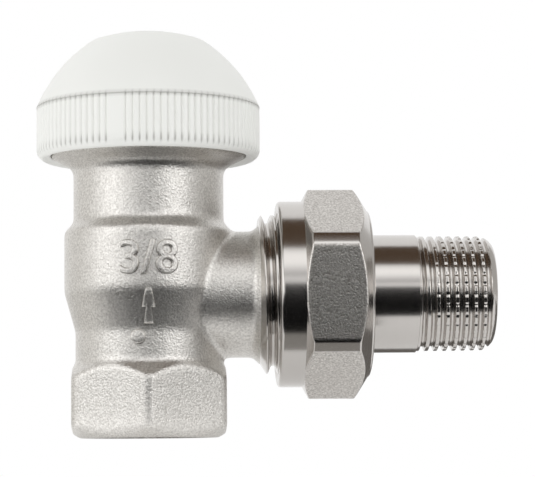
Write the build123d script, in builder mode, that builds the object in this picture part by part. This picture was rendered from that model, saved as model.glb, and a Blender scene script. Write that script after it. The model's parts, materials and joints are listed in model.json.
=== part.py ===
from build123d import *
import os
from math import cos, radians, tan

# Angle radiator valve, 3/8 inch, with a screw cap, a union nut and a threaded tail.
# Millimetres. Z is the spindle's axis with Z = 0 on the inlet face, and the outlet runs along +X.
# The valve stands open: the spring holds the spindle up and the cap rests on its pin.

# Fits and clearances
thread_clearance = 0.15  # radial, between a thread's crests and the plain bore that turns on it
slide_clearance = 0.1  # radial, round the spindle and the insert's skirt
ring_clearance = 0.05  # round the rubber rings and between small stacked pieces
seat_clearance = 0.05  # left under the shut disc, and at the union's cone

# Pipe threads, as shares of the pitch
thread_depth = 0.64
thread_flat = 1 / 6  # across a crest, and across a root

# Valve body, outside
outlet_height = 20.5  # inlet face to outlet axis
foot_flats = 22.0
foot_corner_radius = 12.45
foot_face_radius = 9.9
foot_chamfer_height = 1.4
foot_height = 8.6
foot_cone_height = 2.0
foot_edge_blend = 0.35
neck_height = 4.6
taper_height = 5.65
taper_blend = 3.5
band_height = 8.6
shoulder_height = 1.45
shoulder_blend = 0.9
barrel_height = 7.85
collar_height = 1.7
collar_blend = 1.8
head_thread_radius = 14.0
head_thread_height = 6.05
head_thread_chamfer = 0.8

# Valve body, walls and water passages
neck_wall = 1.95
band_wall = 3.55
barrel_wall = 1.83
head_wall = 2.6
inlet_thread_radius = 7.475
inlet_length = 10.5
inlet_chamfer = 0.4
seat_floor = 3.7  # between the inlet's end and the chamber
seat_height = 2.0
seat_bore_radius = 5.3
seat_ring_width = 1.6
insert_recess_depth = 5.5

# Outlet branch
branch_wall = 3.6
branch_reach = 15.1  # spindle axis to the end of the plain neck
branch_root_blend = 0.9
branch_flank_length = 1.5
branch_flank_blend = 1.2
union_thread_radius = 11.455
union_thread_length = 8.9
union_thread_pitch = 1.814
union_thread_turns = 4
union_thread_chamfer = 0.6
outlet_bore_radius = 5.5
union_cone_length = 5.0
union_cone_angle = 30.0  # between the cone and the outlet axis

# Union nut
nut_start = 18.4  # spindle axis to the nut's open end
nut_collar_radius = 13.4
nut_collar_length = 3.6
nut_edge_blend = 0.5
nut_flats = 27.0
nut_corner_radius = 15.09
nut_hex_length = 10.35
nut_rear_chamfer = 0.95
nut_front_cone_length = 2.9
nut_face_radius = 10.5
nut_face_blend = 0.9
nut_turn = 33.0  # degrees, turns one flat towards the front
nut_shoulder = 3.75  # thickness of the inner shoulder
nut_hole_clearance = 0.25

# Tail
tail_reach = 49.6  # spindle axis to the tail's free end
tail_shank_radius = 8.5
tail_thread_radius = 8.33
tail_thread_length = 10.9
tail_thread_pitch = 1.337
tail_thread_turns = 7
tail_end_chamfer = 1.2
tail_relief_width = 0.65
tail_relief_depth = 0.3
tail_nose_length = 4.2
tail_collar_radius = 10.1
tail_bore_radius = 4.6
tail_socket_flats = 10.0
tail_socket_depth = 12.0

# Insert: the brass bonnet that carries the spindle
insert_thread_radius = 8.9
insert_skirt_step = 0.5  # the skirt is this much slimmer than the thread
insert_skirt_length = 14.0  # from the seat on the body to the skirt's lower end
insert_thread_length = 8.8
insert_hex_height = 3.5
insert_hex_clearance = 0.4
insert_collar_radius = 7.5
insert_collar_height = 1.5
insert_guide_length = 2.0
insert_wall = 3.2  # between the spring chamber and the skirt
insert_ring_section = 1.5
insert_ring_drop = 2.0  # top of the skirt to the middle of its ring

# Gland that seals the pin
gland_radius = 5.9
gland_hex_flats = 13.0
gland_hex_height = 2.5
gland_roof = 1.0  # inside the insert, above the ring chamber
gland_washer_thickness = 1.0
gland_ring_section = 1.6
gland_spacer_thickness = 0.6

# Spindle
valve_lift = 2.4
pin_radius = 1.5
stem_radius = 2.0
stem_tip_radius = 1.5
clip_groove_depth = 0.4
clip_thickness = 0.6
clip_radius = 3.2
clip_below_top = 1.75  # stem's top to the clip's upper face
spring_collar_thickness = 1.0
spring_collar_clearance = 0.3
spring_wire = 1.0
spring_mean_radius = 3.9
spring_turns = 4.0
disc_edge_gap = 1.6  # radial room for water round the disc
disc_thickness = 1.5
disc_seal_thickness = 2.05
disc_seal_step = 0.2  # the seal is this much smaller than the disc
disc_washer_radius = 3.5
disc_washer_thickness = 0.75
disc_nut_flats = 5.5
disc_nut_thickness = 2.0
stem_tip_proud = 0.3

# Screw cap
cap_gap = 0.1  # between the body's collar and the rim
cap_grip_wall = 2.01  # round the opening
cap_rim_inset = 0.46  # the rim is this much smaller than the grip
cap_rim_height = 0.95
cap_rim_blend = 1.2
cap_grip_height = 6.0
cap_dome_overhang = 0.04  # the dome stands out this far past the grip
cap_dome_side_blend = 21.45
cap_dome_rise = 9.75
cap_crown_radius = 8.3
cap_crown_sphere = 25.2
cap_crown_rise = 1.41
cap_shoulder_blend = 2.5
cap_wall = 1.8
cap_roof = 2.2
cap_thread_spare = 0.6  # thread left over when the cap is screwed right down
cap_boss_radius = 3.0
cap_boss_spare = 1.1  # between boss and gland when the cap is screwed right down
grip_grooves = 100
grip_groove_depth = 0.3
grip_groove_width = 0.56
grip_plain_patch = 10.15  # degrees of the grip without grooves
grip_patch_angle = 253.8  # where the plain patch stands, from +X

# Heights of the body's column
neck_bottom = foot_height + foot_cone_height
neck_top = neck_bottom + neck_height
band_bottom = neck_top + taper_height
band_top = band_bottom + band_height
barrel_bottom = band_top + shoulder_height
barrel_top = barrel_bottom + barrel_height
collar_top = barrel_top + collar_height
body_top = collar_top + head_thread_height
recess_floor = body_top - insert_recess_depth
chamber_floor = inlet_length + seat_floor
seat_top = chamber_floor + seat_height

# Radii that follow from the insert, outwards
insert_bore_radius = insert_thread_radius + slide_clearance
skirt_radius = insert_thread_radius - insert_skirt_step
chamber_radius = skirt_radius + 2 * slide_clearance
neck_radius = chamber_radius + neck_wall
band_radius = chamber_radius + band_wall
barrel_radius = insert_bore_radius + barrel_wall
recess_radius = head_thread_radius - head_wall
branch_radius = outlet_bore_radius + branch_wall
seat_ring_radius = seat_bore_radius + seat_ring_width

# Stations along the outlet
union_thread_start = branch_reach + branch_flank_length
body_reach = union_thread_start + union_thread_length
union_slope = tan(radians(union_cone_angle))
union_mouth_radius = outlet_bore_radius + union_cone_length * union_slope
nut_hex_start = nut_start + nut_collar_length
nut_end = nut_hex_start + nut_hex_length
nut_shoulder_start = nut_end - nut_shoulder
nut_bore_radius = union_thread_radius + thread_clearance
nut_hole_radius = tail_shank_radius + nut_hole_clearance
tail_thread_start = tail_reach - tail_thread_length

# Heights inside the insert
insert_bottom = recess_floor - insert_skirt_length
insert_thread_bottom = recess_floor - insert_thread_length
insert_hex_top = recess_floor + insert_hex_height
insert_top = insert_hex_top + insert_collar_height
spring_floor = insert_bottom + insert_guide_length
spring_chamber_radius = skirt_radius - insert_wall
insert_hex_flats = 2 * (recess_radius - insert_hex_clearance) * cos(radians(30))
gland_ring_room = 2 * gland_ring_section + gland_spacer_thickness + 4 * ring_clearance
gland_washer_bottom = insert_top - gland_roof - gland_ring_room - gland_washer_thickness
gland_bottom = gland_washer_bottom + gland_washer_thickness
gland_top = insert_top + gland_hex_height
gland_bore_radius = gland_radius + slide_clearance
gland_ring_centre = pin_radius + ring_clearance + gland_ring_section / 2
gland_chamber_radius = pin_radius + 2 * ring_clearance + gland_ring_section
insert_ring_height = insert_thread_bottom - insert_ring_drop
insert_ring_centre = chamber_radius - slide_clearance - insert_ring_section / 2

# Heights of the spindle, with the valve open
disc_seal_bottom = seat_top + seat_clearance + valve_lift
disc_bottom = disc_seal_bottom + disc_seal_thickness
disc_top = disc_bottom + disc_thickness
disc_washer_bottom = disc_seal_bottom - disc_washer_thickness
disc_nut_bottom = disc_washer_bottom - disc_nut_thickness
stem_bottom = disc_nut_bottom - stem_tip_proud
stem_top = gland_washer_bottom - ring_clearance
pin_top = gland_top + valve_lift + cap_boss_spare
clip_top = stem_top - clip_below_top
clip_bottom = clip_top - clip_thickness
spring_collar_bottom = clip_bottom - spring_collar_thickness
disc_radius = chamber_radius - disc_edge_gap
stem_hole_radius = stem_tip_radius + ring_clearance
clip_groove_radius = stem_radius - clip_groove_depth

# Heights of the cap
cap_bottom = collar_top + cap_gap
grip_bottom = cap_bottom + cap_rim_height
dome_bottom = grip_bottom + cap_grip_height
crown_edge = dome_bottom + cap_dome_rise
cap_top = crown_edge + cap_crown_rise
cap_opening_radius = head_thread_radius + thread_clearance
cap_grip_radius = cap_opening_radius + cap_grip_wall
cap_rim_radius = cap_grip_radius - cap_rim_inset
cap_dome_radius = cap_grip_radius + cap_dome_overhang
cap_thread_top = body_top + valve_lift + cap_thread_spare

outlet_plane = Plane(origin=(0, 0, outlet_height), x_dir=(1, 0, 0), z_dir=(0, -1, 0))
outlet_axis = Axis((0, 0, outlet_height), (1, 0, 0))


def outlet_station(distance):
    """Plane across the outlet axis, facing outwards, at a distance from the spindle's axis."""
    return Plane(origin=(distance, 0, outlet_height), x_dir=(0, 1, 0), z_dir=(1, 0, 0))


def thread_section(start, radius, pitch, turns):
    """Points of a male thread's section on the outlet plane, with a ring for each turn."""
    crest_gap = pitch * (1 - thread_flat) / 2
    root = pitch * thread_flat / 2
    root_radius = radius - pitch * thread_depth
    points = []
    for turn in range(turns):
        middle = start + pitch * (turn + 0.5)
        points.append((middle - crest_gap, radius))
        points.append((middle - root, root_radius))
        points.append((middle + root, root_radius))
        points.append((middle + crest_gap, radius))
    return points


os.makedirs("parts", exist_ok=True)

# Valve body: a forging with a hexagon foot, a banded column and a side branch
union_thread = thread_section(
    union_thread_start, union_thread_radius, union_thread_pitch, union_thread_turns
)
with BuildPart() as valve_body:
    with BuildSketch():
        RegularPolygon(foot_flats / 2, 6, major_radius=False, rotation=30)
    extrude(amount=neck_bottom)
    with BuildSketch(Plane.XZ):
        with BuildLine():
            Polyline(
                (0, 0),
                (foot_face_radius, 0),
                (foot_corner_radius, foot_chamfer_height),
                (foot_corner_radius, foot_height),
                (neck_radius, neck_bottom),
                (0, neck_bottom),
                close=True,
            )
        make_face()
    revolve(axis=Axis.Z, mode=Mode.INTERSECT)
    flats = valve_body.faces().filter_by(GeomType.PLANE) - valve_body.faces().filter_by(Axis.Z)
    fillet(flats.edges(), foot_edge_blend)
    # Column
    with BuildSketch(Plane.XZ):
        with BuildLine():
            FilletPolyline(
                (0, neck_bottom),
                (neck_radius, neck_bottom),
                (neck_radius, neck_top),
                (band_radius, band_bottom),
                (band_radius, band_top),
                (barrel_radius, barrel_bottom),
                (barrel_radius, barrel_top),
                (head_thread_radius, collar_top),
                (head_thread_radius, body_top - head_thread_chamfer),
                (head_thread_radius - head_thread_chamfer, body_top),
                (0, body_top),
                radius=(0, taper_blend, taper_blend, shoulder_blend, shoulder_blend, collar_blend, 0, 0, 0),
            )
            Line((0, body_top), (0, neck_bottom))
        make_face()
    revolve(axis=Axis.Z)
    # Branch with the union's thread, blended into the column
    with BuildSketch(outlet_plane):
        with BuildLine():
            FilletPolyline(
                (0, 0),
                (0, branch_radius),
                (branch_reach, branch_radius),
                (union_thread_start, union_thread_radius),
                radius=(0, branch_flank_blend),
            )
            Polyline(
                (union_thread_start, union_thread_radius),
                *union_thread,
                (body_reach - union_thread_chamfer, union_thread_radius),
                (body_reach, union_thread_radius - union_thread_chamfer),
                (body_reach, 0),
                (0, 0),
            )
        make_face()
    revolve(axis=outlet_axis)
    fillet(valve_body.edges(Select.NEW), branch_root_blend)
    # Inlet, seat and chamber
    with BuildSketch(Plane.XZ):
        with BuildLine():
            Polyline(
                (0, 0),
                (inlet_thread_radius + inlet_chamfer, 0),
                (inlet_thread_radius, inlet_chamfer),
                (inlet_thread_radius, inlet_length),
                (seat_bore_radius, inlet_length),
                (seat_bore_radius, seat_top),
                (seat_ring_radius, seat_top),
                (seat_ring_radius, chamber_floor),
                (chamber_radius, chamber_floor),
                (chamber_radius, insert_thread_bottom),
                (insert_bore_radius, insert_thread_bottom),
                (insert_bore_radius, recess_floor),
                (recess_radius, recess_floor),
                (recess_radius, body_top),
                (0, body_top),
                close=True,
            )
        make_face()
    revolve(axis=Axis.Z, mode=Mode.SUBTRACT)
    # Outlet passage, opening out into the union's cone
    with BuildSketch(outlet_plane):
        with BuildLine():
            Polyline(
                (chamber_radius - disc_edge_gap, 0),
                (chamber_radius - disc_edge_gap, outlet_bore_radius),
                (body_reach - union_cone_length, outlet_bore_radius),
                (body_reach, union_mouth_radius),
                (body_reach, 0),
                close=True,
            )
        make_face()
    revolve(axis=outlet_axis, mode=Mode.SUBTRACT)
valve_body.part.label = "valve_body"
export_step(valve_body.part, "parts/valve_body.step")

# Union nut: a round collar and a hexagon with turned corners
with BuildPart() as union_nut:
    with BuildSketch(outlet_station(nut_hex_start)):
        RegularPolygon(nut_flats / 2, 6, major_radius=False, rotation=nut_turn)
    extrude(amount=nut_hex_length)
    with BuildSketch(outlet_plane):
        with BuildLine():
            FilletPolyline(
                (nut_hex_start, 0),
                (nut_hex_start, nut_collar_radius),
                (nut_hex_start + nut_rear_chamfer, nut_corner_radius),
                (nut_end - nut_front_cone_length, nut_corner_radius),
                (nut_end, nut_face_radius),
                (nut_end, 0),
                radius=(0, 0, 0, nut_face_blend),
            )
            Line((nut_end, 0), (nut_hex_start, 0))
        make_face()
    revolve(axis=outlet_axis, mode=Mode.INTERSECT)
    with BuildSketch(outlet_plane):
        with BuildLine():
            FilletPolyline(
                (nut_start, 0),
                (nut_start, nut_collar_radius),
                (nut_hex_start, nut_collar_radius),
                (nut_hex_start, 0),
                radius=(nut_edge_blend, 0),
            )
            Line((nut_hex_start, 0), (nut_start, 0))
        make_face()
    revolve(axis=outlet_axis)
    with BuildSketch(outlet_station(nut_start)):
        Circle(nut_bore_radius)
    extrude(amount=nut_shoulder_start - nut_start, mode=Mode.SUBTRACT)
    with BuildSketch(outlet_station(nut_start)):
        Circle(nut_hole_radius)
    extrude(amount=nut_end - nut_start, mode=Mode.SUBTRACT)
union_nut.part.label = "union_nut"
export_step(union_nut.part, "parts/union_nut.step")

# Tail: a cone nose and a collar held by the nut, a plain shank and the pipe thread
tail_collar_start = body_reach + 2 * seat_clearance
tail_nose_radius = union_mouth_radius - tail_nose_length * union_slope
tail_thread = thread_section(
    tail_thread_start, tail_thread_radius, tail_thread_pitch, tail_thread_turns
)
with BuildPart() as tailpiece:
    with BuildSketch(outlet_plane):
        with BuildLine():
            Polyline(
                (tail_collar_start - tail_nose_length, tail_bore_radius),
                (tail_collar_start - tail_nose_length, tail_nose_radius),
                (tail_collar_start, union_mouth_radius),
                (tail_collar_start, tail_collar_radius),
                (nut_shoulder_start - ring_clearance, tail_collar_radius),
                (nut_shoulder_start - ring_clearance, tail_shank_radius),
                (tail_thread_start - tail_relief_width, tail_shank_radius),
                (tail_thread_start - tail_relief_width / 2, tail_thread_radius - tail_relief_depth),
                (tail_thread_start, tail_thread_radius),
                *tail_thread,
                (tail_reach - tail_end_chamfer, tail_thread_radius),
                (tail_reach, tail_thread_radius - tail_end_chamfer),
                (tail_reach, tail_bore_radius),
                close=True,
            )
        make_face()
    revolve(axis=outlet_axis)
    with BuildSketch(outlet_station(tail_reach)):
        RegularPolygon(tail_socket_flats / 2, 6, major_radius=False)
    extrude(amount=-tail_socket_depth, mode=Mode.SUBTRACT)
tailpiece.part.label = "tailpiece"
export_step(tailpiece.part, "parts/tailpiece.step")

# Screw cap: one moulding with a domed top, a grooved grip and a boss that presses the pin
with BuildPart() as screw_cap:
    with BuildSketch(Plane.XZ) as cap_section:
        with BuildLine():
            RadiusArc((cap_grip_radius, grip_bottom), (cap_rim_radius, cap_bottom), cap_rim_blend)
            Polyline(
                (cap_rim_radius, cap_bottom),
                (cap_opening_radius, cap_bottom),
                (cap_opening_radius, cap_thread_top),
                (cap_crown_radius - cap_wall, cap_top - cap_roof),
                (cap_boss_radius, cap_top - cap_roof),
                (cap_boss_radius, pin_top),
                (0, pin_top),
                (0, cap_top),
            )
            RadiusArc((0, cap_top), (cap_crown_radius, crown_edge), cap_crown_sphere)
            RadiusArc((cap_crown_radius, crown_edge), (cap_dome_radius, dome_bottom), cap_dome_side_blend)
            Polyline(
                (cap_dome_radius, dome_bottom),
                (cap_grip_radius, dome_bottom),
                (cap_grip_radius, grip_bottom),
            )
        make_face()
        crown_corner = cap_section.vertices().sort_by_distance((cap_crown_radius, crown_edge))[0]
        fillet(crown_corner, cap_shoulder_blend)
    revolve(axis=Axis.Z)
    with BuildSketch(Plane.XY.offset(grip_bottom)):
        with PolarLocations(
            cap_grip_radius,
            grip_grooves,
            start_angle=grip_patch_angle + grip_plain_patch / 2,
            angular_range=360 - grip_plain_patch,
            endpoint=True,
        ):
            Polygon(
                (-grip_groove_depth, 0),
                (0, -grip_groove_width / 2),
                (grip_groove_depth, -grip_groove_width / 2),
                (grip_groove_depth, grip_groove_width / 2),
                (0, grip_groove_width / 2),
                align=None,
            )
    extrude(amount=cap_grip_height, mode=Mode.SUBTRACT)
screw_cap.part.label = "screw_cap"
export_step(screw_cap.part, "parts/screw_cap.step")

# Insert housing: skirt with a ring groove, thread blank, hexagon and the gland's collar
insert_groove_radius = insert_ring_centre - insert_ring_section / 2 - ring_clearance
insert_groove_half = insert_ring_section / 2 + ring_clearance
with BuildPart() as insert_housing:
    with BuildSketch(Plane.XZ):
        with BuildLine():
            Polyline(
                (stem_radius + slide_clearance, insert_bottom),
                (skirt_radius, insert_bottom),
                (skirt_radius, insert_ring_height - insert_groove_half),
                (insert_groove_radius, insert_ring_height - insert_groove_half),
                (insert_groove_radius, insert_ring_height + insert_groove_half),
                (skirt_radius, insert_ring_height + insert_groove_half),
                (skirt_radius, insert_thread_bottom + slide_clearance),
                (insert_thread_radius, insert_thread_bottom + slide_clearance),
                (insert_thread_radius, recess_floor),
                (insert_collar_radius, recess_floor),
                (insert_collar_radius, insert_top),
                (gland_bore_radius, insert_top),
                (gland_bore_radius, gland_washer_bottom),
                (spring_chamber_radius, gland_washer_bottom),
                (spring_chamber_radius, spring_floor),
                (stem_radius + slide_clearance, spring_floor),
                close=True,
            )
        make_face()
    revolve(axis=Axis.Z)
    with BuildSketch(Plane.XY.offset(recess_floor)):
        RegularPolygon(insert_hex_flats / 2, 6, major_radius=False)
        Circle(gland_bore_radius, mode=Mode.SUBTRACT)
    extrude(amount=insert_hex_height)
insert_housing.part.label = "insert_housing"
export_step(insert_housing.part, "parts/insert_housing.step")

# Rubber ring that seals the insert in the body
with BuildPart() as insert_o_ring:
    with Locations((0, 0, insert_ring_height)):
        Torus(insert_ring_centre, insert_ring_section / 2)
insert_o_ring.part.label = "insert_o_ring"
export_step(insert_o_ring.part, "parts/insert_o_ring.step")

# Gland nut: screwed into the insert, with a chamber for the pin's two rings
with BuildPart() as gland_nut:
    with BuildSketch(Plane.XY.offset(gland_bottom)):
        Circle(gland_radius)
    extrude(amount=insert_top - gland_bottom)
    with BuildSketch(Plane.XY.offset(insert_top)):
        RegularPolygon(gland_hex_flats / 2, 6, major_radius=False)
    extrude(amount=gland_hex_height)
    with BuildSketch(Plane.XY.offset(gland_bottom)):
        Circle(gland_chamber_radius)
    extrude(amount=gland_ring_room, mode=Mode.SUBTRACT)
    with BuildSketch(Plane.XY.offset(gland_bottom)):
        Circle(pin_radius + slide_clearance)
    extrude(amount=gland_top - gland_bottom, mode=Mode.SUBTRACT)
gland_nut.part.label = "gland_nut"
export_step(gland_nut.part, "parts/gland_nut.step")

# Washer under the gland nut, which stops the stem
with BuildPart() as gland_washer:
    with BuildSketch(Plane.XY.offset(gland_washer_bottom)):
        Circle(gland_radius)
        Circle(pin_radius + slide_clearance, mode=Mode.SUBTRACT)
    extrude(amount=gland_washer_thickness)
gland_washer.part.label = "gland_washer"
export_step(gland_washer.part, "parts/gland_washer.step")

# The pin's two rubber rings and the spacer between them
lower_ring_height = gland_bottom + ring_clearance + gland_ring_section / 2
spacer_bottom = lower_ring_height + gland_ring_section / 2 + ring_clearance
upper_ring_height = spacer_bottom + gland_spacer_thickness + ring_clearance + gland_ring_section / 2
with BuildPart() as lower_pin_o_ring:
    with Locations((0, 0, lower_ring_height)):
        Torus(gland_ring_centre, gland_ring_section / 2)
lower_pin_o_ring.part.label = "lower_pin_o_ring"
export_step(lower_pin_o_ring.part, "parts/lower_pin_o_ring.step")

with BuildPart() as upper_pin_o_ring:
    with Locations((0, 0, upper_ring_height)):
        Torus(gland_ring_centre, gland_ring_section / 2)
upper_pin_o_ring.part.label = "upper_pin_o_ring"
export_step(upper_pin_o_ring.part, "parts/upper_pin_o_ring.step")

with BuildPart() as ring_spacer:
    with BuildSketch(Plane.XY.offset(spacer_bottom)):
        Circle(gland_chamber_radius - ring_clearance)
        Circle(pin_radius + slide_clearance, mode=Mode.SUBTRACT)
    extrude(amount=gland_spacer_thickness)
ring_spacer.part.label = "ring_spacer"
export_step(ring_spacer.part, "parts/ring_spacer.step")

# Actuating pin: what the cap presses
with BuildPart() as actuating_pin:
    with BuildSketch(Plane.XY.offset(stem_top)):
        Circle(pin_radius)
    extrude(amount=pin_top - stem_top)
actuating_pin.part.label = "actuating_pin"
export_step(actuating_pin.part, "parts/actuating_pin.step")

# Valve stem: grooved for its clip, stepped down to carry the disc
with BuildPart() as valve_stem:
    with BuildSketch(Plane.XZ):
        with BuildLine():
            Polyline(
                (0, stem_bottom),
                (stem_tip_radius, stem_bottom),
                (stem_tip_radius, disc_top),
                (stem_radius, disc_top),
                (stem_radius, clip_bottom),
                (clip_groove_radius, clip_bottom),
                (clip_groove_radius, clip_top),
                (stem_radius, clip_top),
                (stem_radius, stem_top),
                (0, stem_top),
                close=True,
            )
        make_face()
    revolve(axis=Axis.Z)
valve_stem.part.label = "valve_stem"
export_step(valve_stem.part, "parts/valve_stem.step")

# Retaining clip, snapped into the stem's groove
with BuildPart() as retaining_clip:
    with BuildSketch(Plane.XY.offset(clip_bottom)):
        Circle(clip_radius)
        Circle(clip_groove_radius + ring_clearance, mode=Mode.SUBTRACT)
        with Locations((clip_radius, 0)):
            Rectangle(2 * clip_radius, 2 * clip_groove_radius, mode=Mode.SUBTRACT)
    extrude(amount=clip_thickness)
retaining_clip.part.label = "retaining_clip"
export_step(retaining_clip.part, "parts/retaining_clip.step")

# Spring collar, held up against the clip by the spring
with BuildPart() as spring_collar:
    with BuildSketch(Plane.XY.offset(spring_collar_bottom)):
        Circle(spring_chamber_radius - spring_collar_clearance)
        Circle(stem_radius + ring_clearance, mode=Mode.SUBTRACT)
    extrude(amount=spring_collar_thickness)
spring_collar.part.label = "spring_collar"
export_step(spring_collar.part, "parts/spring_collar.step")

# Return spring, between the insert's floor and the spring collar
spring_height = spring_collar_bottom - spring_floor - spring_wire - 2 * ring_clearance
spring_start = spring_floor + ring_clearance + spring_wire / 2
with BuildPart() as return_spring:
    with BuildLine() as coil:
        Helix(
            pitch=spring_height / spring_turns,
            height=spring_height,
            radius=spring_mean_radius,
            center=(0, 0, spring_start),
        )
    with BuildSketch(Plane(origin=coil.line @ 0, z_dir=coil.line % 0)):
        Circle(spring_wire / 2)
    sweep(path=coil.line, is_frenet=True)
return_spring.part.label = "return_spring"
export_step(return_spring.part, "parts/return_spring.step")

# Valve disc with its rubber seal, washer and nut
with BuildPart() as valve_disc:
    with BuildSketch(Plane.XY.offset(disc_bottom)):
        Circle(disc_radius)
        Circle(stem_hole_radius, mode=Mode.SUBTRACT)
    extrude(amount=disc_thickness)
valve_disc.part.label = "valve_disc"
export_step(valve_disc.part, "parts/valve_disc.step")

with BuildPart() as disc_seal:
    with BuildSketch(Plane.XY.offset(disc_seal_bottom)):
        Circle(disc_radius - disc_seal_step)
        Circle(stem_hole_radius, mode=Mode.SUBTRACT)
    extrude(amount=disc_seal_thickness)
disc_seal.part.label = "disc_seal"
export_step(disc_seal.part, "parts/disc_seal.step")

with BuildPart() as disc_washer:
    with BuildSketch(Plane.XY.offset(disc_washer_bottom)):
        Circle(disc_washer_radius)
        Circle(stem_hole_radius, mode=Mode.SUBTRACT)
    extrude(amount=disc_washer_thickness)
disc_washer.part.label = "disc_washer"
export_step(disc_washer.part, "parts/disc_washer.step")

with BuildPart() as disc_nut:
    with BuildSketch(Plane.XY.offset(disc_nut_bottom)):
        RegularPolygon(disc_nut_flats / 2, 6, major_radius=False)
        Circle(stem_hole_radius, mode=Mode.SUBTRACT)
    extrude(amount=disc_nut_thickness)
disc_nut.part.label = "disc_nut"
export_step(disc_nut.part, "parts/disc_nut.step")
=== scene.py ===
import bmesh
import bpy
import json
import math
import numpy as np
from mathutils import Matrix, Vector


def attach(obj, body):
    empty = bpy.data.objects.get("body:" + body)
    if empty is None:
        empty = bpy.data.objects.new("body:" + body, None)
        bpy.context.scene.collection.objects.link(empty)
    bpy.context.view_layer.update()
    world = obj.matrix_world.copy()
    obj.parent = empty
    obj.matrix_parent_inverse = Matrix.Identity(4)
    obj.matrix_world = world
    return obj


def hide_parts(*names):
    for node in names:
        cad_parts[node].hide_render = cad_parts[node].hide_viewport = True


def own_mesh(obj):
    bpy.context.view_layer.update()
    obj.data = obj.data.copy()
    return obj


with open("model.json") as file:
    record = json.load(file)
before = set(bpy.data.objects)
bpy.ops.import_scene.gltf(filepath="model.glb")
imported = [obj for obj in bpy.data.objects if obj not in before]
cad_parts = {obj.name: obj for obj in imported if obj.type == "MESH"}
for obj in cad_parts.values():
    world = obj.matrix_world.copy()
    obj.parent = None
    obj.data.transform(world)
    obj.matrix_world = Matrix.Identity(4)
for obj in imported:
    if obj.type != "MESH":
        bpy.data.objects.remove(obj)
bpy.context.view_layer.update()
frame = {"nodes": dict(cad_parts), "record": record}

# Sizes are in millimetres unless a name says otherwise
MM = 0.001
FULL_TURN = 2 * math.pi
outlet_height = 20.5

# Foot and column of the body
foot_top = 8.6
neck_top = 15.2
neck_radius = 10.55
band_bottom = 20.85
band_radius = 12.15
column_front = -90.0  # degrees, the side that faces the camera
forging_face = 0.34  # size of the faces that its softened shape is made of
forging_smoothing = 6  # passes, each half way to the neighbours' middle

# Raised marks on the column
mark_depth = 0.3  # how far they are sunk
mark_side = 0.7  # share of the rise where the upright side ends
mark_edge = 0.92  # share of the rise where the eased edge bends
number_size = 6.6
number_base = 22.8
number_rise = 0.5
number_draft = 0.2  # width of the sloping sides
number_side = 0.1  # upright part of the sides
number_stroke = -0.08  # added to the strokes' width on each side
arrow_base = 15.7
arrow_length = 5.0
arrow_head_length = 2.7
arrow_head_half = 0.95
arrow_stem_top = 0.32
arrow_stem_foot = 0.65
arrow_tip = 0.5
arrow_tip_start = 0.3  # radians round the tip's arc
arrow_middle = 0.2  # above the foot of the head
arrow_rise = 0.45
arrow_ease = 0.4
dot_radius = 1.0
dot_height = 14.0
dot_rise = 0.6
dot_ease = 0.3
dot_turn = -8.0  # degrees from the front

# All threads
thread_flatness = 1.45  # 1 is one soft wave, more has flatter crests and roots

# Union thread on the branch
union_pitch = 1.814
union_crest_radius = 11.44
union_root_radius = 10.29
union_core_radius = 10.2  # what is left of the branch under the thread
union_crest_at_top = 17.72  # where a crest stands on the topmost line
union_first_crest = -1  # pitches from there to the crest that the thread starts with
union_run_out_start = 14.95
union_run_out_radius = 9.6
union_run_out_slope = 1.6
union_thread_start = 15.75
union_thread_end = 25.3
union_inside_start = 9.1  # inner radius of the thread's ring, inside the branch
union_inside_end = 9.6

# Inlet thread in the foot
inlet_pitch = 1.337
inlet_crest_radius = 7.475
inlet_root_radius = 8.3
inlet_wall_radius = 8.35
inlet_wall_slack = 0.05  # how far from the crest radius the bore's own points may lie
inlet_ring_radius = 8.7
inlet_thread_bottom = 0.45
inlet_thread_top = 10.4
inlet_bore_top = 10.6

# Union nut
nut_start = 18.4
nut_collar_radius = 13.4
nut_collar_length = 3.6
nut_collar_plain = 0.8  # where its even stretch starts
nut_corner_gap = 0.05  # between the collar's last ring and the hexagon's first
nut_edge_blend = 0.5
nut_flats = 27.0
nut_corner_radius = 15.09
nut_hex_length = 9.75
nut_rear_chamfer = 0.95
nut_front_cone_length = 2.3
nut_face_radius = 11.45
nut_end_round = 0.35  # length of the rounding at the front face
nut_end_fall = 0.9  # what the rounding takes off the radius
nut_flat_angle = 63.0  # degrees from +Y towards +Z
nut_shoulder = 3.15
nut_bore_radius = 11.605
nut_bore_chamfer = 0.6
nut_hole_radius = 8.75
nut_hole_chamfer = 0.3
nut_soft_edge = 0.16
nut_finish_edge = 0.05  # difference in radius where a flat's finish turns into the cone's

# Tail
tail_reach = 49.6
tail_nose_start = 21.4
tail_collar_start = 25.6
tail_collar_end = 28.55
tail_bore_radius = 4.6
tail_nose_radius = 5.96
tail_mouth_radius = 8.387
tail_collar_radius = 10.1
tail_shank_start = 29.55
tail_shank_end = 38.35
tail_shank_radius = 8.5
tail_thread_start = 38.7
tail_lead_before = 0.25  # the thread deepens from here
tail_lead_after = 0.3  # to here
tail_pitch = 1.337
tail_thread_depth = 0.856
tail_crest_at_top = 44.62
tail_crest_first = 8.5
tail_crest_last = 8.24
tail_end_round = 2.0
tail_end_fullness = 1.6  # 1 is a straight chamfer, 2 an ellipse
tail_end_lift = 0.05  # how far the rounding starts above the last crest
tail_end_soft = 0.12
tail_end_gap = 0.02  # between the thread's last ring and the face
tail_face_radius = 6.7
tail_face_edge = 6.5
tail_notches = 35
tail_notch_depth = 0.2
tail_notch_start = 40.1
tail_notch_full = 41.2
tail_notch_wave = (0.15, 0.9)  # a notch deepens as a wave round the tail rises through this
tail_notch_crest = (0.72, 0.98)  # and as the thread's height does through this
tail_socket_flats = 10.0
tail_socket_depth = 12.0
tail_socket_chamfer = 0.35

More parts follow.
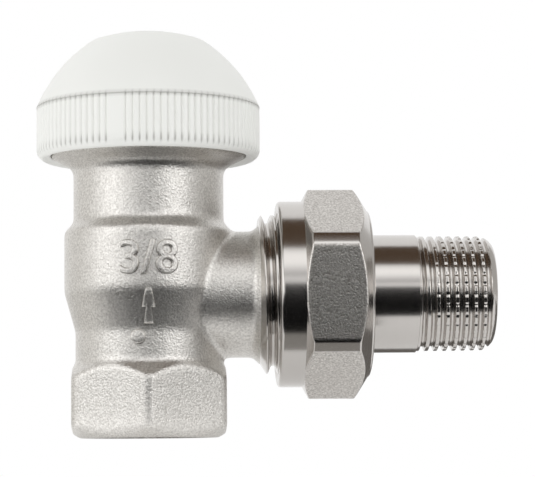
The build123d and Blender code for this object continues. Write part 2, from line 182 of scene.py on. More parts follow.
# Screw cap
cap_bottom = 40.55
cap_opening_radius = 14.15
cap_rim_height = 0.95
cap_rim_drop = 0.45  # the underside's outer edge hangs this much lower
cap_rim_blend = 1.5
cap_grip_radius = 16.16
cap_grip_height = 6.0
cap_grip_lead = 0.2  # above the rim, where the grip's even stretch starts
cap_grip_bottom = cap_bottom + cap_rim_height
cap_dome_bottom = cap_grip_bottom + cap_grip_height
cap_dome_radius = 16.2
cap_seam_depth = 0.16
cap_seam_half = 0.09
cap_seam_turn = 0.3  # degrees of the dome's side arc that the seam takes
cap_dome_side_blend = 21.45
cap_dome_rise = 9.75
cap_crown_radius = 8.3
cap_crown_sphere = 25.2
cap_crown_rise = 1.41
cap_shoulder_blend = 2.5
cap_thread_top = 49.5
cap_roof = 56.46
cap_roof_radius = 6.5
cap_boss_radius = 3.0
cap_boss_bottom = 52.0
grip_grooves = 100
grip_groove_depth = 0.28
grip_groove_half = 0.3
grip_groove_shape = 1.3  # 1 is a plain V
grip_groove_step = 0.09  # share of a pitch between the points that shape a groove
grip_land_fall = 0.02  # of the lands, for each half groove away from a groove
grip_land_edge = 1.6  # half grooves from a groove to where the land is even
grip_plain_patch = 10.15  # degrees without grooves
grip_patch_angle = 253.8  # degrees
cap_shade_top = 1.9  # painted shade in the grooves' low ends starts this far above the cap's bottom
cap_shade_full = 0.5
cap_shade_edge = 15.75  # radius where that painted shade starts

# How finely the pieces are divided: rings along them and points round them
nut_rings = 72
nut_flat_points = 84
tail_rings = 176
tail_notch_points = 10
union_rings = 130
union_points = 180
inlet_rings = 110
inlet_points = 144
dot_points = 40


def smooth(low, high, value):
    """0 at low, 1 at high, and a soft step between."""
    t = np.clip((value - low) / (high - low), 0, 1)
    return t * t * (3 - 2 * t)


def soft_min(a, b, blend):
    """The smaller of two heights, rounded where they cross."""
    t = np.clip(0.5 + 0.5 * (b - a) / blend, 0, 1)
    return b * (1 - t) + a * t - blend * t * (1 - t)


def arc(centre, radius, start, end, count):
    """Points on an arc, as (radius, height) pairs; angles in degrees."""
    turns = np.radians(np.linspace(start, end, count))
    return [(centre[0] + radius * math.cos(t), centre[1] + radius * math.sin(t)) for t in turns]


def line(start, end, count):
    """Points on a straight stretch, both ends included."""
    return [tuple(point) for point in np.linspace(start, end, count)]


def bearing(start, end):
    """Direction from one point to another, in degrees."""
    return math.degrees(math.atan2(end[1] - start[1], end[0] - start[0]))


def all_round(count):
    """Even angles round a full turn, in radians."""
    return np.linspace(0, FULL_TURN, count, endpoint=False)


def new_object(name, data):
    piece = bpy.data.objects.new(name, data)
    bpy.context.scene.collection.objects.link(piece)
    return piece


def final_mesh(piece):
    """The mesh that an object ends up with; the object itself is removed."""
    shown = piece.evaluated_get(bpy.context.evaluated_depsgraph_get())
    mesh = bpy.data.meshes.new_from_object(shown)
    bpy.data.objects.remove(piece)
    return mesh


def mesh_from(name, points, faces):
    """A mesh from points in millimetres."""
    mesh = bpy.data.meshes.new(name)
    mesh.from_pydata((points * MM).tolist(), [], faces)
    return mesh


def clean_mesh(mesh, sharp_angle):
    """Join doubled points, turn the faces outwards and shade smooth up to an angle in degrees."""
    work = bmesh.new()
    work.from_mesh(mesh)
    bmesh.ops.remove_doubles(work, verts=work.verts, dist=1e-7)
    bmesh.ops.recalc_face_normals(work, faces=work.faces)
    work.to_mesh(mesh)
    work.free()
    mesh.shade_smooth()
    mesh.set_sharp_from_angle(angle=math.radians(sharp_angle))


def ring_mesh(name, rows, closed, sharp_angle=40, mark=None):
    """A mesh from rows of points that run round an axis; closed joins the last row to the first."""
    rows = np.asarray(rows, float)
    count, around = rows.shape[:2]
    index = np.arange(count * around).reshape(count, around)
    lower = index if closed else index[:-1]
    upper = np.roll(index, -1, axis=0) if closed else index[1:]
    quads = np.stack([lower, np.roll(lower, -1, 1), np.roll(upper, -1, 1), upper], -1)
    mesh = mesh_from(name, rows.reshape(-1, 3), quads.reshape(-1, 4).tolist())
    # The mark holds the nut's grained flats, and on the cap painted shade
    if mark is not None:
        values = mesh.attributes.new("finish_and_shade", "FLOAT", "POINT")
        values.data.foreach_set("value", np.asarray(mark, np.float32).ravel())
    clean_mesh(mesh, sharp_angle)
    return new_object(name, mesh)


def round_z(radius, height, angle):
    """Points about the spindle's axis."""
    radius, height, angle = np.broadcast_arrays(radius, height, angle)
    return np.stack([radius * np.cos(angle), radius * np.sin(angle), height], -1)


def round_x(station, radius, angle):
    """Points about the outlet's axis; the angle runs from +Y towards +Z."""
    station, radius, angle = np.broadcast_arrays(station, radius, angle)
    return np.stack([station, radius * np.cos(angle), outlet_height + radius * np.sin(angle)], -1)


def thread_turns(station, crest_at_top, pitch, angles):
    """Pitches from the crest that passes a station on the outlet's topmost line."""
    return (station - crest_at_top) / pitch - (angles - math.pi / 2) / FULL_TURN


def thread_shape(turns):
    """Height of a thread, 0 in the root and 1 on the crest, where turns counts pitches from a crest."""
    off = np.abs(turns - np.round(turns))
    ramp = np.clip((1 - 4 * off) * thread_flatness, -1, 1)
    return 0.5 + 0.25 * ramp * (3 - ramp * ramp)


def hexagon(flats, angle, flat_angle):
    """Radius of a hexagon at an angle, from its size across flats."""
    sixth = FULL_TURN / 6
    off = np.mod(angle - math.radians(flat_angle) + sixth / 2, sixth) - sixth / 2
    return flats / 2 / np.cos(off)


# Cap: rim, grooved grip, dome and crown, with the opening and boss inside
def dome_centres(low, high):
    """Centres of the dome's side, shoulder and crown, from the side's two ends."""
    # The side arc's centre lies square to the middle of its chord
    chord = high - low
    inward = np.array((-chord[1], chord[0])) / np.linalg.norm(chord)
    side = (low + high) / 2 + inward * math.sqrt(cap_dome_side_blend ** 2 - chord @ chord / 4)
    crown = np.array((0.0, high[1] + cap_crown_rise - cap_crown_sphere))
    # The shoulder's centre is where both arcs, set in by its radius, cross
    side_reach = cap_dome_side_blend - cap_shoulder_blend
    crown_reach = cap_crown_sphere - cap_shoulder_blend
    between = crown - side
    span = np.linalg.norm(between)
    along = (side_reach ** 2 - crown_reach ** 2 + span ** 2) / (2 * span)
    across = np.array((-between[1], between[0])) / span * math.sqrt(side_reach ** 2 - along ** 2)
    foot = side + between / span * along
    shoulder = max((foot + across, foot - across), key=sum)
    return side, shoulder, crown


def cap_outside():
    """Outline from the opening's edge up to the middle of the crown."""
    low = np.array((cap_dome_radius, cap_dome_bottom))
    high = np.array((cap_crown_radius, cap_dome_bottom + cap_dome_rise))
    side, shoulder, crown = dome_centres(low, high)
    rim_turn = math.degrees(math.asin((cap_rim_height + cap_rim_drop) / cap_rim_blend))
    rim_centre = (cap_grip_radius - cap_rim_blend, cap_grip_bottom)
    rim_edge = cap_grip_radius - cap_rim_blend * (1 - math.cos(math.radians(rim_turn)))
    grip_start = (cap_grip_radius, cap_grip_bottom + cap_grip_lead)
    grip_end = (cap_grip_radius, cap_dome_bottom - cap_seam_half)
    side_start = bearing(side, low) + cap_seam_turn
    shoulder_start = bearing(side, shoulder)
    crown_start = bearing(crown, shoulder)
    outside = line((cap_opening_radius, cap_bottom), (rim_edge, cap_bottom - cap_rim_drop), count=4)
    outside += arc(rim_centre, cap_rim_blend, -rim_turn, 0, count=14)[1:]
    outside += line(grip_start, grip_end, count=14)
    outside.append((cap_grip_radius - cap_seam_depth, cap_dome_bottom))
    outside += arc(side, cap_dome_side_blend, side_start, shoulder_start, count=22)
    outside += arc(shoulder, cap_shoulder_blend, shoulder_start, crown_start, count=10)[1:]
    outside += arc(crown, cap_crown_sphere, crown_start, 90, count=12)[1:]
    return outside


def cap_inside():
    """Outline from the boss out to the opening's edge."""
    return [
        (0, cap_boss_bottom), (cap_boss_radius, cap_boss_bottom),
        (cap_boss_radius, cap_roof), (cap_roof_radius, cap_roof),
        (cap_opening_radius, cap_thread_top), (cap_opening_radius, cap_bottom),
    ]


def grip_angles():
    """Angles round the cap, close together at the grooves, and the grooves' own, in degrees."""
    pitch = (360 - grip_plain_patch) / (grip_grooves - 1)
    first = grip_patch_angle + grip_plain_patch / 2
    centres = first + pitch * np.arange(grip_grooves)
    steps = np.append(-0.5, grip_groove_step * np.arange(-4, 5))
    patch_start = first - grip_plain_patch
    patch = np.linspace(patch_start + pitch / 2, first - pitch / 2, 8, endpoint=False)
    return np.append(centres[:, None] + pitch * steps, patch), centres


def grip_groove(angles, centres):
    """How deep the grip is cut at each angle."""
    nearest = np.abs(angles[:, None] - centres)
    nearest = np.minimum(nearest, 360 - nearest).min(1)
    off = np.radians(nearest) * cap_grip_radius / grip_groove_half
    land = grip_land_fall * np.clip(off, 0, grip_land_edge)
    return grip_groove_depth * np.clip(1 - off, 0, 1) ** grip_groove_shape + land


def make_cap():
    degrees, centres = grip_angles()
    angles = np.radians(degrees)
    groove = grip_groove(degrees, centres)
    share = groove / grip_groove_depth
    rows, painted_shade = [], []
    for radius, height in cap_outside():
        on_grip = height <= cap_dome_bottom
        cut = np.minimum(radius, cap_grip_radius - groove) if on_grip else radius
        rows.append(round_z(cut, height, angles))
        # Painted shade: darker in the grooves' low ends near the rim and along the seam under the dome
        low_end = smooth(cap_shade_top, cap_shade_full, height - cap_bottom)
        low_end = low_end * smooth(cap_shade_edge, cap_grip_radius, radius)
        seam = smooth(3 * cap_seam_half, cap_seam_half, abs(height - cap_dome_bottom))
        painted_shade.append(share * low_end + seam * (0.5 + 0.5 * share))
    for radius, height in cap_inside():
        rows.append(round_z(radius, height, angles))
        painted_shade.append(0 * share)
    return ring_mesh("cap_shell", rows, closed=False, sharp_angle=50, mark=painted_shade)


# Union nut: collar, hexagon with turned corners, bore and front hole
def make_nut():
    hex_start = nut_start + nut_collar_length
    nut_end = hex_start + nut_hex_length
    cone_start = nut_end - nut_front_cone_length
    round_start = nut_end - nut_end_round
    cone_slope = (nut_corner_radius - nut_face_radius) / nut_front_cone_length
    rear_slope = (nut_corner_radius - nut_collar_radius) / nut_rear_chamfer
    angles = math.radians(nut_flat_angle) + all_round(6 * nut_flat_points)
    flats = hexagon(nut_flats, angles, nut_flat_angle)
    rows, finish_and_shade = [], []

    def add(station, radius, flat=0.0):
        rows.append(round_x(station, radius, angles))
        finish_and_shade.append(np.broadcast_to(flat, angles.shape))

    edge_centre = (nut_collar_radius - nut_edge_blend, nut_start + nut_edge_blend)
    for radius, station in arc(edge_centre, nut_edge_blend, -90, 0, count=7):
        add(station, radius)
    for station in np.linspace(nut_start + nut_collar_plain, hex_start - nut_corner_gap, 8):
        add(station, nut_collar_radius)
    for station in np.linspace(hex_start, round_start, nut_rings):
        rear_cone = nut_collar_radius + (station - hex_start) * rear_slope
        front_cone = nut_corner_radius - (station - cone_start) * cone_slope
        turned = soft_min(min(rear_cone, nut_corner_radius), front_cone, nut_soft_edge)
        flat = smooth(-nut_finish_edge, nut_finish_edge, turned - flats)
        add(station, soft_min(flats, turned, nut_soft_edge), flat)
    last = nut_corner_radius - (round_start - cone_start) * cone_slope
    for turn in np.radians(np.linspace(0, 90, 7))[1:]:
        add(round_start + nut_end_round * math.sin(turn), last - nut_end_fall * (1 - math.cos(turn)))
    shoulder = nut_end - nut_shoulder
    for station, radius in (
        (nut_end, nut_hole_radius + nut_hole_chamfer), (nut_end - nut_hole_chamfer, nut_hole_radius),
        (shoulder, nut_hole_radius), (shoulder, nut_bore_radius),
        (nut_start + nut_bore_chamfer, nut_bore_radius), (nut_start, nut_bore_radius + nut_bore_chamfer),
    ):
        add(station, radius)
    return ring_mesh("nut_shell", rows, closed=True, sharp_angle=50, mark=finish_and_shade)


# Tail: cone nose and collar inside the nut, plain shank, notched taper thread and key socket
def tail_thread_radius(station, angles):
    """Radius of the notched thread at a station, with the rounding at its end."""
    height = thread_shape(thread_turns(station, tail_crest_at_top, tail_pitch, angles))
    share = (station - tail_thread_start) / (tail_reach - tail_thread_start)
    crest = tail_crest_first + (tail_crest_last - tail_crest_first) * share
    cut = smooth(tail_thread_start - tail_lead_before, tail_thread_start + tail_lead_after, station)
    wave = np.cos(angles * tail_notches)
    dent = smooth(*tail_notch_wave, wave) * smooth(*tail_notch_crest, height)
    dent = dent * smooth(tail_notch_start, tail_notch_full, station)
    radius = crest - tail_thread_depth * (1 - height) * cut - tail_notch_depth * dent
    into_end = np.clip((station - (tail_reach - tail_end_round)) / tail_end_round, 0, 1)
    left = (1 - into_end ** tail_end_fullness) ** (1 / tail_end_fullness)
    rounded = tail_face_radius + (tail_crest_last + tail_end_lift - tail_face_radius) * left
    return soft_min(radius, rounded, tail_end_soft)


def make_tail():
    angles = all_round(tail_notch_points * tail_notches)
    socket = hexagon(tail_socket_flats, angles, 0)
    socket_end = tail_reach - tail_socket_depth
    rings = [
        (tail_nose_start, tail_bore_radius), (tail_nose_start, tail_nose_radius),
        (tail_collar_start, tail_mouth_radius), (tail_collar_start, tail_collar_radius),
        (tail_collar_end, tail_collar_radius), (tail_collar_end, tail_shank_radius),
    ]
    rings += [(station, tail_shank_radius) for station in np.linspace(tail_shank_start, tail_shank_end, 10)]
    thread_start = tail_thread_start - tail_lead_before
    for station in np.linspace(thread_start, tail_reach - tail_end_gap, tail_rings):
        rings.append((station, tail_thread_radius(station, angles)))
    rings += [
        (tail_reach, tail_face_edge), (tail_reach, socket + tail_socket_chamfer),
        (tail_reach - tail_socket_chamfer, socket), (socket_end, socket), (socket_end, tail_bore_radius),
    ]
    rows = [round_x(station, radius, angles) for station, radius in rings]
    return ring_mesh("tail_shell", rows, closed=True, sharp_angle=45)


# Threads of the body, outside on the branch and inside the foot
def make_union_thread():
    angles = all_round(union_points)
    rows = []
    for station in np.linspace(union_thread_start, union_thread_end, union_rings):
        turns = thread_turns(station, union_crest_at_top, union_pitch, angles)
        radius = union_root_radius + (union_crest_radius - union_root_radius) * thread_shape(turns)
        # Ahead of its first crest the thread only slopes down to the branch
        ahead = (union_first_crest - turns) * union_pitch
        radius = np.where(ahead > 0, union_crest_radius - ahead * union_run_out_slope, radius)
        run_out = union_run_out_radius + (station - union_run_out_start) * union_run_out_slope
        rows.append(round_x(station, np.minimum(radius, run_out), angles))
    rows.append(round_x(union_thread_end, union_inside_end, angles))
    rows.append(round_x(union_thread_start, union_inside_start, angles))
    return ring_mesh("union_thread", rows, closed=True)


def make_inlet_thread():
    angles = all_round(inlet_points)
    rows = []
    for height in np.linspace(inlet_thread_bottom, inlet_thread_top, inlet_rings):
        turns = height / inlet_pitch - angles / FULL_TURN
        radius = inlet_root_radius - (inlet_root_radius - inlet_crest_radius) * thread_shape(turns)
        rows.append(round_z(radius, height, angles))
    rows.append(round_z(inlet_ring_radius, inlet_thread_top, angles))
    rows.append(round_z(inlet_ring_radius, inlet_thread_bottom, angles))
    return ring_mesh("inlet_thread", rows, closed=True)


# Body: the forging's own shape, drawn in where the two threads go
def soften(mesh):
    """The same shape in small even faces, with its edges rounded as a forging's are."""
    source = new_object("forging", mesh)
    even = source.modifiers.new("even_faces", "REMESH")
    even.mode = "VOXEL"
    even.voxel_size = forging_face * MM
    rounded = source.modifiers.new("rounded_edges", "SMOOTH")
    rounded.factor = 0.5
    rounded.iterations = forging_smoothing
    soft = final_mesh(source)
    for vertex in soft.vertices:
        vertex.co.z = max(vertex.co.z, 0)
    soft.shade_smooth()
    return soft


def make_body():
    source = frame["nodes"]["valve_body"].data
    points = np.array([vertex.co for vertex in source.vertices], float) / MM
    across = points[:, 1:] - (0, outlet_height)
    radius = np.linalg.norm(across, axis=1)
    on_thread = (points[:, 0] > union_run_out_start) & (radius > union_core_radius)
    drawn_in = across[on_thread] * (union_core_radius / radius[on_thread])[:, None]
    points[on_thread, 1:] = drawn_in + (0, outlet_height)
    radius = np.linalg.norm(points[:, :2], axis=1)
    on_bore = np.abs(radius - inlet_crest_radius) < inlet_wall_slack
    in_inlet = on_bore & (points[:, 2] < inlet_bore_top)
    points[in_inlet, :2] *= (inlet_wall_radius / radius[in_inlet])[:, None]
    mesh = mesh_from("body_shell", points, [tuple(face.vertices) for face in source.polygons])
    clean_mesh(mesh, 38)
    return new_object("body_shell", soften(mesh))


# Return spring: the coils as they are
def make_spring():
    mesh = frame["nodes"]["return_spring"].data.copy()
    mesh.materials.clear()
    return new_object("spring_coils", mesh)


# Raised marks: a size number on the band, a flow arrow on the taper and a dot on the neck
def lay_on_column(across, up, out, turn):
    """Points of flat relief, laid on the column's surface about a turn from the front."""
    surface = np.interp(up, (neck_top, band_bottom), (neck_radius, band_radius))
    return round_z(surface + out, up, np.radians(column_front + turn) + across / surface)


def raised_mark(name, outline, centre, rise, ease, turn):
    """A closed raised shape from its outline, with its top edge eased."""
    outline, centre = np.asarray(outline), np.asarray(centre)
    rows = []
    for share, out in (
        (0, -mark_depth), (1, -mark_depth), (1, mark_side * rise),
        (1 - ease / 3, mark_edge * rise), (1 - ease, rise), (0, rise),
    ):
        ring = centre + (outline - centre) * share
        rows.append(lay_on_column(ring[:, 0], ring[:, 1], out, turn))
    return ring_mesh(name, rows, closed=False, sharp_angle=60)


def make_arrow():
    neck = arrow_base + arrow_length - arrow_head_length
    tip_centre = (0, arrow_base + arrow_length - arrow_tip)
    tip_start = math.degrees(arrow_tip_start)
    outline = [(arrow_stem_foot, arrow_base), (arrow_stem_top, neck), (arrow_head_half, neck)]
    outline += arc(tip_centre, arrow_tip, tip_start, 180 - tip_start, count=7)
    outline += [(-arrow_head_half, neck), (-arrow_stem_top, neck), (-arrow_stem_foot, arrow_base)]
    return raised_mark("flow_arrow", outline, (0, neck + arrow_middle), arrow_rise, arrow_ease, 0)


def make_dot():
    turns = all_round(dot_points)
    outline = np.stack([dot_radius * np.cos(turns), dot_height + dot_radius * np.sin(turns)], -1)
    return raised_mark("neck_dot", outline, (0, dot_height), dot_rise, dot_ease, dot_turn)


def make_number():
    curve = bpy.data.curves.new("number_curve", "FONT")
    curve.body = "3/8"
    curve.align_x = "CENTER"
    curve.size = number_size
    curve.extrude = number_side
    curve.bevel_depth = number_draft
    curve.offset = number_stroke
    curve.resolution_u = 6
    flat = final_mesh(new_object("number_source", curve))
    points = np.array([vertex.co for vertex in flat.vertices])
    depth = (points[:, 2] - points[:, 2].min()) / np.ptp(points[:, 2])
    out = -mark_depth + depth * (mark_depth + number_rise)
    laid = lay_on_column(points[:, 0], number_base + points[:, 1], out, 0)
    mesh = mesh_from("size_number", laid, [tuple(face.vertices) for face in flat.polygons])
    clean_mesh(mesh, 40)
    return new_object("size_number", mesh)


# Materials: noise in the piece's own coordinates, with sizes and depths in millimetres
def add_node(tree, kind, **values):
    """A node with some of its settings or inputs set by name."""
    node = tree.nodes.new(kind)
    for key, value in values.items():
        if hasattr(node, key):
            setattr(node, key, value)
        else:
            node.inputs[key.replace("_", " ").title()].default_value = value
    return node


def start_material(name, metallic=0):
    """A new material with its node tree, shader and the piece's own coordinates."""
    material = bpy.data.materials.new(name)
    material.use_nodes = True
    tree = material.node_tree
    shader = tree.nodes["Principled BSDF"]
    shader.inputs["Metallic"].default_value = metallic
    return material, tree, shader, add_node(tree, "ShaderNodeTexCoord").outputs["Object"]


def noise(tree, place, size, detail=2.0, stretch=(1, 1, 1)):
    """Noise whose patches are about a size in millimetres."""
    mapping = add_node(tree, "ShaderNodeMapping", scale=stretch)
    tree.links.new(place, mapping.inputs["Vector"])
    texture = add_node(tree, "ShaderNodeTexNoise", scale=1 / (size * MM), detail=detail)
    tree.links.new(mapping.outputs["Vector"], texture.inputs["Vector"])
    return texture.outputs["Fac"]


def spread(tree, value, low, high, start=0.3, end=0.7):
    """A value between start and end, spread from low to high."""
    node = add_node(tree, "ShaderNodeMapRange", from_min=start, from_max=end, to_min=low, to_max=high)
    tree.links.new(value, node.inputs["Value"])
    return node.outputs["Result"]


def mix_node(tree, factor):
    """A mix of two colours: its two colour inputs and its colour output."""
    node = add_node(tree, "ShaderNodeMix", data_type="RGBA")
    tree.links.new(factor, node.inputs["Factor"])
    colours = [socket for socket in node.inputs if socket.type == "RGBA"]
    return colours, next(socket for socket in node.outputs if socket.type == "RGBA")


def blend_colour(tree, value, dark, light):
    """A colour between two, by a value."""
    colours, mixed = mix_node(tree, value)
    colours[0].default_value = (*dark, 1)
    colours[1].default_value = (*light, 1)
    return mixed


def bump(tree, height, strength, depth, before):
    """Surface relief of a depth in millimetres on top of the relief before it."""
    node = add_node(tree, "ShaderNodeBump", distance=depth * MM)
    tree.links.new(height, node.inputs["Height"])
    if isinstance(strength, float):
        node.inputs["Strength"].default_value = strength
    else:
        tree.links.new(strength, node.inputs["Strength"])
    if before is not None:
        tree.links.new(before, node.inputs["Normal"])
    return node.outputs["Normal"]


def apply_look(tree, shader, colour, roughness, relief):
    """Link a colour, a roughness and a list of (height, strength, depth) to a shader."""
    tree.links.new(colour, shader.inputs["Base Color"])
    tree.links.new(roughness, shader.inputs["Roughness"])
    normal = None
    for height, strength, depth in relief:
        normal = bump(tree, height, strength, depth, normal)
    tree.links.new(normal, shader.inputs["Normal"])


def satin_nickel():
    material, tree, shader, place = start_material("satin_nickel", metallic=1)
    grain = noise(tree, place, size=0.28, detail=3.0)
    fine = noise(tree, place, size=0.16)
    speck = spread(tree, grain, 0.0, 1.0, start=0.34, end=0.66)
    colour = blend_colour(tree, speck, dark=(0.59, 0.57, 0.54), light=(0.85, 0.83, 0.795))
    height = add_node(tree, "ShaderNodeSeparateXYZ")
    tree.links.new(place, height.inputs["Vector"])
    on_foot = spread(tree, height.outputs["Z"], 1.0, 0.0, start=foot_top * MM, end=(foot_top + 1) * MM)
    relief = [(grain, 1.0, 0.06), (fine, 0.5, 0.03), (grain, on_foot, 0.025)]
    apply_look(tree, shader, colour, spread(tree, fine, 0.3, 0.44), relief)
    return material


def bright_nickel():
    """Turned faces are smooth, and faces marked as flats are dull and grained."""
    material, tree, shader, place = start_material("bright_nickel", metallic=1)
    finish_and_shade = add_node(tree, "ShaderNodeAttribute", attribute_name="finish_and_shade").outputs["Fac"]
    turned = noise(tree, place, size=0.12, detail=3.0, stretch=(1, 0.02, 0.02))
    grain = noise(tree, place, size=0.24, detail=3.0)
    speck = spread(tree, grain, 0.0, 1.0, start=0.34, end=0.66)
    flat_colour = blend_colour(tree, speck, dark=(0.39, 0.367, 0.341), light=(0.75, 0.724, 0.69))
    turned_colour = blend_colour(tree, turned, dark=(0.585, 0.56, 0.535), light=(0.615, 0.59, 0.565))
    colours, colour = mix_node(tree, finish_and_shade)
    tree.links.new(turned_colour, colours[0])
    tree.links.new(flat_colour, colours[1])
    roughness = spread(tree, finish_and_shade, 0.19, 0.28, start=0, end=1)
    grained = spread(tree, finish_and_shade, 0.0, 0.9, start=0, end=1)
    apply_look(tree, shader, colour, roughness, [(turned, 0.12, 0.006), (grain, grained, 0.034)])
    return material


def thread_nickel():
    material, tree, shader, place = start_material("thread_nickel", metallic=1)
    patches = noise(tree, place, size=2.0)
    turned = noise(tree, place, size=0.1, detail=3.0, stretch=(1, 0.03, 0.03))
    colour = blend_colour(tree, patches, dark=(0.59, 0.565, 0.54), light=(0.63, 0.605, 0.58))
    apply_look(tree, shader, colour, spread(tree, patches, 0.13, 0.2), [(turned, 0.15, 0.006)])
    return material


def white_plastic():
    """The mark is painted shade in the grooves' low ends and in the seam."""
    material, tree, shader, place = start_material("white_plastic")
    painted_shade = add_node(tree, "ShaderNodeAttribute", attribute_name="finish_and_shade").outputs["Fac"]
    fine = noise(tree, place, size=0.25, detail=3.0)
    # Painted shade darkens the white plastic where the mark is high
    colour = blend_colour(tree, painted_shade, dark=(0.815, 0.82, 0.79), light=(0.5, 0.5, 0.475))
    apply_look(tree, shader, colour, spread(tree, fine, 0.42, 0.52), [(fine, 0.15, 0.01)])
    return material


def plain_metal(name, dark, light, rough):
    material, tree, shader, place = start_material(name, metallic=1)
    colour = blend_colour(tree, noise(tree, place, size=1.5), dark, light)
    fine = noise(tree, place, size=0.1, detail=3.0)
    roughness = spread(tree, fine, rough - 0.05, rough + 0.05)
    apply_look(tree, shader, colour, roughness, [(fine, 0.2, 0.006)])
    return material


def black_rubber():
    material, tree, shader, place = start_material("black_rubber")
    patches = noise(tree, place, size=0.4, detail=3.0)
    colour = blend_colour(tree, patches, dark=(0.02, 0.02, 0.02), light=(0.04, 0.04, 0.04))
    apply_look(tree, shader, colour, spread(tree, patches, 0.55, 0.7), [(patches, 0.2, 0.01)])
    return material


slots = {
    "nickel_satin": satin_nickel(),
    "nickel_bright": bright_nickel(),
    "white_plastic": white_plastic(),
    "brass": plain_metal("brass", dark=(0.66, 0.5, 0.22), light=(0.74, 0.57, 0.27), rough=0.28),
    "steel": plain_metal("steel", dark=(0.5, 0.5, 0.51), light=(0.58, 0.58, 0.59), rough=0.22),
    "rubber": black_rubber(),
}
thread_finish = thread_nickel()

for subpart in frame["record"]["subparts"]:
    node = frame["nodes"][subpart["node"]]
    node.data.materials.clear()
    node.data.materials.append(slots[subpart["material_slot"]])


def dress(piece, body, slot, node=None, material=None):
    """Give a piece its finish, the body it rides on and the node it stands for."""
    piece.data.materials.append(material or slots[slot])
    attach(piece, body)
    if node:
        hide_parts(node)


dress(make_body(), "valve_body", "nickel_satin", "valve_body")
dress(make_union_thread(), "valve_body", "nickel_bright", material=thread_finish)
dress(make_inlet_thread(), "valve_body", "nickel_bright", material=thread_finish)
for mark in (make_number(), make_arrow(), make_dot()):
    dress(mark, "valve_body", "nickel_satin")
dress(make_nut(), "nut", "nickel_bright", "union_nut")
dress(make_tail(), "tail", "nickel_bright", "tailpiece")
dress(make_cap(), "cap", "white_plastic", "screw_cap")
spring = make_spring()
dress(spring, "valve_body", "steel", "return_spring")
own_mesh(spring)


# Studio, in metres: floor, white surroundings, soft lights and dark cards that the metal mirrors
object_middle = (0.015, 0, 0.025)
floor_half = 1.5
floor_drop = 0.00005
card_lift = 0.0003  # of the cards that lie on the floor
white = (1, 1, 1)


def sheet(name, width, depth):
    """A flat rectangle about its own middle."""
    w, d = width / 2, depth / 2
    mesh = bpy.data.meshes.new(name)
    mesh.from_pydata([(-w, -d, 0), (w, -d, 0), (w, d, 0), (-w, d, 0)], [], [(0, 1, 2, 3)])
    return new_object(name, mesh)


def card(name, centre, size, material, facing=object_middle, lights_object=False):
    """A card that faces a point and stays out of the picture; the metal mirrors it."""
    piece = sheet(name, *size)
    piece.location = centre
    piece.rotation_euler = (Vector(facing) - Vector(centre)).to_track_quat("Z", "Y").to_euler()
    piece.data.materials.append(material)
    piece.visible_camera = False
    piece.visible_shadow = False
    piece.visible_diffuse = lights_object
    piece.visible_transmission = False


def floor_card(name, x, y, size, material):
    card(name, (x, y, card_lift), size, material, facing=(x, y, 1))


def glow(name, colour, strength=1.0, fade=0.0):
    """Light from a card, falling off towards its edges where fade is above 0."""
    material = bpy.data.materials.new(name)
    material.use_nodes = True
    tree = material.node_tree
    tree.nodes.clear()
    output = add_node(tree, "ShaderNodeOutputMaterial")
    emission = add_node(tree, "ShaderNodeEmission")
    emission.inputs["Color"].default_value = (*colour, 1)
    tree.links.new(emission.outputs["Emission"], output.inputs["Surface"])
    centred = add_node(tree, "ShaderNodeVectorMath", operation="SUBTRACT")
    centred.inputs[1].default_value = (0.5, 0.5, 0.5)
    tree.links.new(add_node(tree, "ShaderNodeTexCoord").outputs["Generated"], centred.inputs[0])
    away = add_node(tree, "ShaderNodeVectorMath", operation="LENGTH")
    tree.links.new(centred.outputs["Vector"], away.inputs[0])
    level = spread(tree, away.outputs["Value"], strength, strength * (1 - fade), start=0.15, end=0.6)
    tree.links.new(level, emission.inputs["Strength"])
    return material


def make_world():
    """White all round: the background, what the metal mirrors and an even light."""
    world = bpy.data.worlds.new("studio")
    bpy.context.scene.world = world
    world.use_nodes = True
    background = world.node_tree.nodes["Background"]
    background.inputs["Color"].default_value = (*white, 1)
    background.inputs["Strength"].default_value = 1.0


def make_floor():
    """A pale floor that keeps the shadow; seen from underneath it isn't there."""
    floor = sheet("floor", 2 * floor_half, 2 * floor_half)
    floor.location.z = -floor_drop
    material, tree, shader, place = start_material("floor")
    patches = noise(tree, place, size=300.0)
    colour = blend_colour(tree, patches, dark=(0.6, 0.6, 0.6), light=(0.62, 0.62, 0.62))
    tree.links.new(colour, shader.inputs["Base Color"])
    shader.inputs["Roughness"].default_value = 0.9
    shader.inputs["Emission Color"].default_value = (*white, 1)
    shader.inputs["Emission Strength"].default_value = 0.4
    clear = add_node(tree, "ShaderNodeBsdfTransparent")
    either = add_node(tree, "ShaderNodeMixShader")
    below = add_node(tree, "ShaderNodeNewGeometry").outputs["Backfacing"]
    tree.links.new(below, either.inputs["Fac"])
    tree.links.new(shader.outputs["BSDF"], either.inputs[1])
    tree.links.new(clear.outputs["BSDF"], either.inputs[2])
    tree.links.new(either.outputs["Shader"], tree.nodes["Material Output"].inputs["Surface"])
    floor.data.materials.append(material)


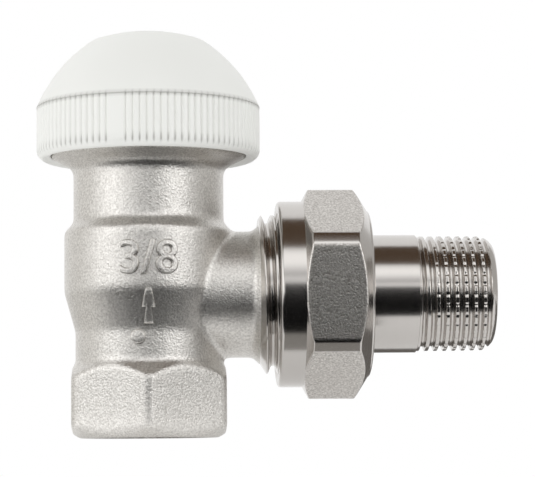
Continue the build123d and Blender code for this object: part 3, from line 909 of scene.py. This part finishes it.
def make_lights():
    top = glow("top_glow", white, strength=1.4, fade=0.9)
    left = glow("left_glow", white, strength=1.85, fade=0.35)
    right = glow("right_glow", white, strength=2.1, fade=0.35)
    card("top_light", (0.0, -0.47, 0.42), (0.9, 0.5), top, lights_object=True)
    card("left_light", (-0.55, -0.38, 0.18), (0.62, 0.5), left, lights_object=True)
    card("right_light", (0.43, -0.51, 0.18), (0.56, 0.5), right)


def make_cards():
    black = glow("black_card", (0.01, 0.01, 0.01), strength=0.4)
    brown = glow("brown_card", (0.09, 0.058, 0.036))
    grey = glow("grey_card", (0.55, 0.54, 0.525))
    pale = glow("pale_card", (0.76, 0.75, 0.73))
    shade = glow("shade_card", (0.64, 0.63, 0.61))
    shadow_glow = glow("painted_shadow_glow", (0.3, 0.29, 0.275))
    dark = glow("dark_card", (0.15, 0.14, 0.13))
    card("front_card", (0.12, -0.75, -0.0225), (0.34, 0.335), black, facing=(0.12, 0, -0.0225))
    floor_card("low_card", 0.14, -0.386, (0.5, 0.727), black)
    # Painted shadow: a dim card on the floor beside the nut, seen only in the metal
    floor_card("painted_shadow_card", 0.025, -0.0178, (0.018, 0.0095), shadow_glow)
    card("over_card", (0.03, -0.12, 0.5), (0.9, 0.444), brown, facing=(0.03, -0.12, 0))
    card("right_side_card", (0.85, 0.1, 0.2), (1.5, 1.2), grey)
    card("left_side_card", (-0.85, 0.1, 0.2), (1.5, 1.2), pale)
    floor_card("left_floor_card", -0.135, 0.115, (0.23, 0.27), shade)
    floor_card("right_floor_card", 0.165, 0.156, (0.27, 0.288), dark)


make_world()
make_floor()
make_lights()
make_cards()

# Camera at the photo's angle, in metres and degrees
camera_place = (0.00121, -0.3331, -0.00366)
camera_angles = (95.53, 0.5, -2.695)
camera_lens_mm = 155.745
camera_sensor_mm = 36
camera_near = 0.01
camera_far = 20

camera_data = bpy.data.cameras.new("camera")
camera_data.lens = camera_lens_mm
camera_data.sensor_width = camera_sensor_mm
camera_data.clip_start = camera_near
camera_data.clip_end = camera_far
camera = new_object("camera", camera_data)
camera.location = camera_place
camera.rotation_euler = [math.radians(angle) for angle in camera_angles]
bpy.context.scene.camera = camera
bpy.context.scene.view_settings.view_transform = "Standard"
